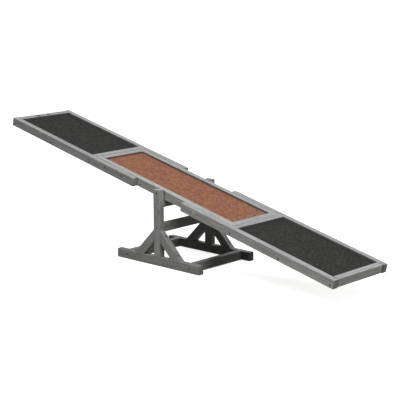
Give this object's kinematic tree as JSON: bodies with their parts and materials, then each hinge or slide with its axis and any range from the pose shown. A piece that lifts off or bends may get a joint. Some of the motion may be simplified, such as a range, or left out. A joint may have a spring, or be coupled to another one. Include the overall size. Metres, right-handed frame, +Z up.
{
  "type": "dog agility seesaw",
  "caption": "Timber seesaw for dog agility: a framed plank in bolted sections with recessed mineral-grit walking surfaces, rocking on a braced stand.",
  "frame": {"origin": "on the ground, straight under the pivot, in the middle of the stand's width", "axes": "+X along the deck towards the end that is low at rest (front), +Y to the left across the stand, along the pivot, +Z up"},
  "size_m": [1.7602, 0.319, 0.5087],
  "materials": {
    "timber": "softwood under a matt grey stain, grain showing",
    "board": "bare plywood",
    "black_felt": "roofing felt with black mineral grit, matt",
    "terracotta_felt": "roofing felt with terracotta mineral grit, matt",
    "steel": "dull grey zinc",
    "yellow_zinc": "yellow zinc plating, satin"
  },
  "bodies": {
    "stand": {"left_foot_rail": "timber", "right_foot_rail": "timber", "front_cross_rail": "timber", "rear_cross_rail": "timber", "left_post": "timber", "right_post": "timber", "left_front_brace": "timber", "left_rear_brace": "timber", "right_front_brace": "timber", "right_rear_brace": "timber", "middle_stretcher": "timber", "top_stretcher": "timber", "foot_frame_screws": "steel", "post_foot_screws": "steel", "stretcher_screws": "steel", "brace_screws": "steel", "pivot_washers": "steel"},
    "deck": {"front_left_side_rail": "timber", "front_right_side_rail": "timber", "front_end_rail": "timber", "front_inner_rail": "timber", "front_batten": "timber", "front_board": "board", "front_grip_felt": "black_felt", "front_section_screws": "steel", "rear_left_side_rail": "timber", "rear_right_side_rail": "timber", "rear_end_rail": "timber", "rear_inner_rail": "timber", "rear_batten": "timber", "rear_board": "board", "rear_grip_felt": "black_felt", "rear_section_screws": "steel", "middle_left_side_rail": "timber", "middle_right_side_rail": "timber", "middle_front_rail": "timber", "middle_rear_rail": "timber", "middle_front_batten": "timber", "middle_rear_batten": "timber", "middle_board": "board", "middle_grip_felt": "terracotta_felt", "middle_section_screws": "steel", "section_bolts": "yellow_zinc", "section_inserts": "yellow_zinc", "pivot_bolts": "yellow_zinc", "pivot_inserts": "yellow_zinc"}
  },
  "joints": [
    {"name": "deck_pivot", "type": "hinge", "parent": "stand", "child": "deck", "pos_m": [0, 0, 0.29], "axis": [0, 1, 0], "range_deg": [-30.6, 4.2]}
  ]
}
